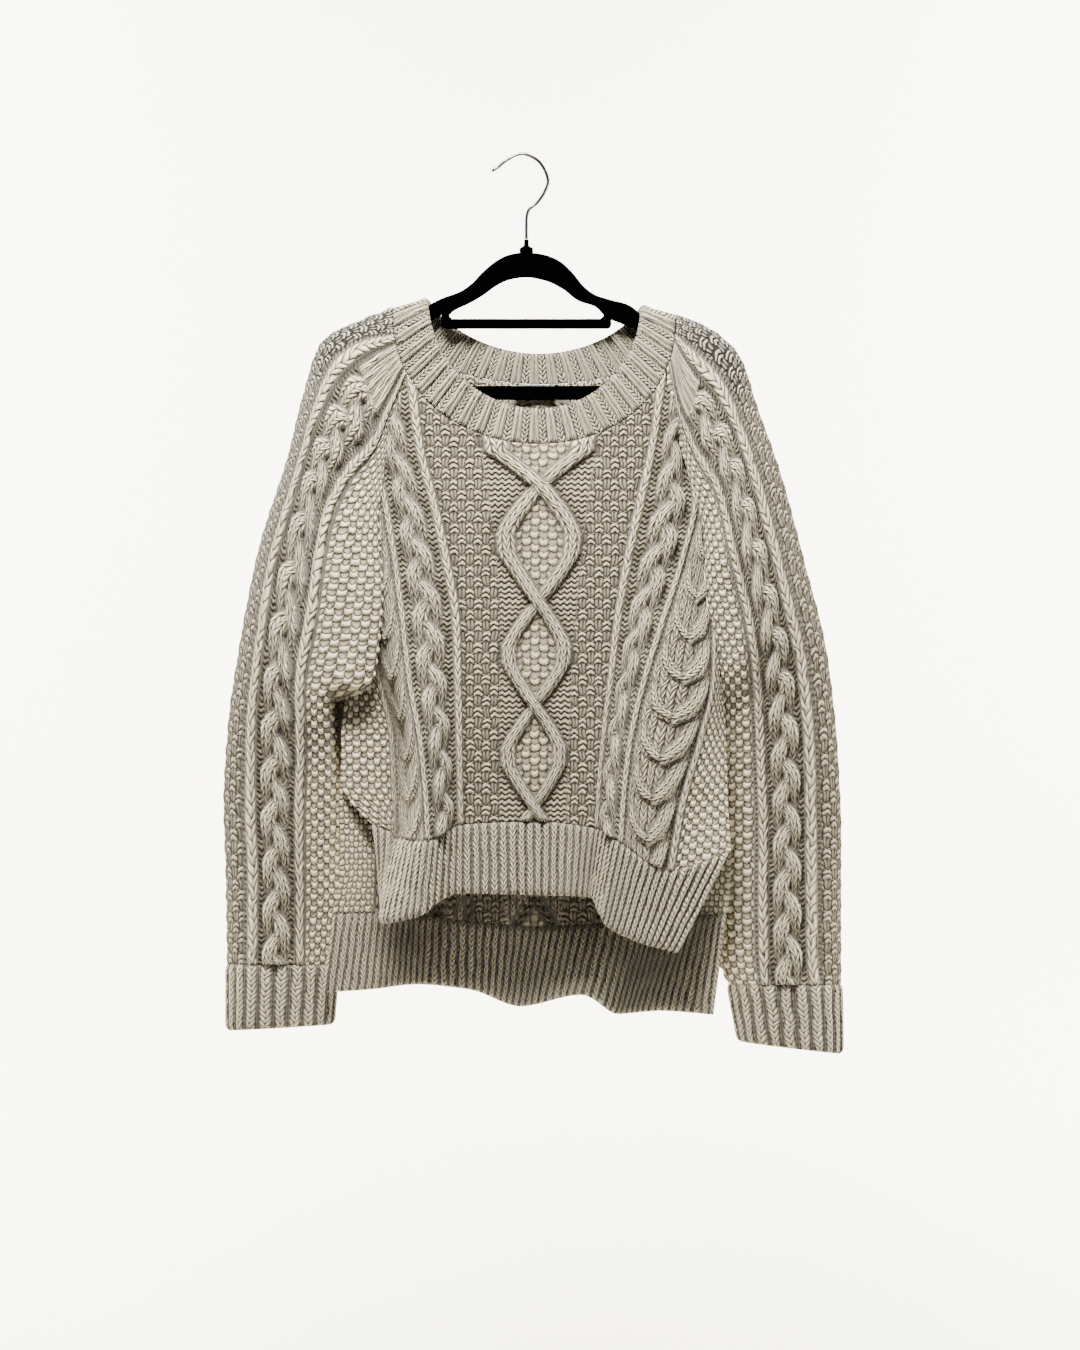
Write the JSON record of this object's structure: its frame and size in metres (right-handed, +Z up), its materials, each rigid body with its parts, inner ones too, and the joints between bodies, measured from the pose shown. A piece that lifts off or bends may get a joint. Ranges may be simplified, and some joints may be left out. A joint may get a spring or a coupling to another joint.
{
  "type": "cable knit sweater on a hanger",
  "caption": "Oatmeal cable knit crew neck sweater with raglan sleeves and a split, longer back hem, hung on a slim black velvet hanger with a steel hook.",
  "frame": {"origin": "inside of the top of the hanger's hook, where the rail carries it", "axes": "+Z up, +X towards the sweater's left sleeve as worn (right as seen from the front), -Y towards the sweater's front"},
  "size_m": [0.6221, 0.1251, 0.9039],
  "materials": {
    "knit": "matte",
    "velvet": "matte",
    "hook_steel": "polished",
    "label_tape": "matte"
  },
  "bodies": {
    "root": {"front_panel": "knit", "back_panel": "knit", "front_hem_rib": "knit", "back_hem_rib": "knit", "sleeve_left": "knit", "sleeve_right": "knit", "cuff_left": "knit", "cuff_right": "knit", "neckband": "knit", "neck_label": "label_tape", "hanger_body": "velvet", "hanger_ferrule": "velvet", "hanger_hook": "hook_steel"}
  },
  "joints": []
}
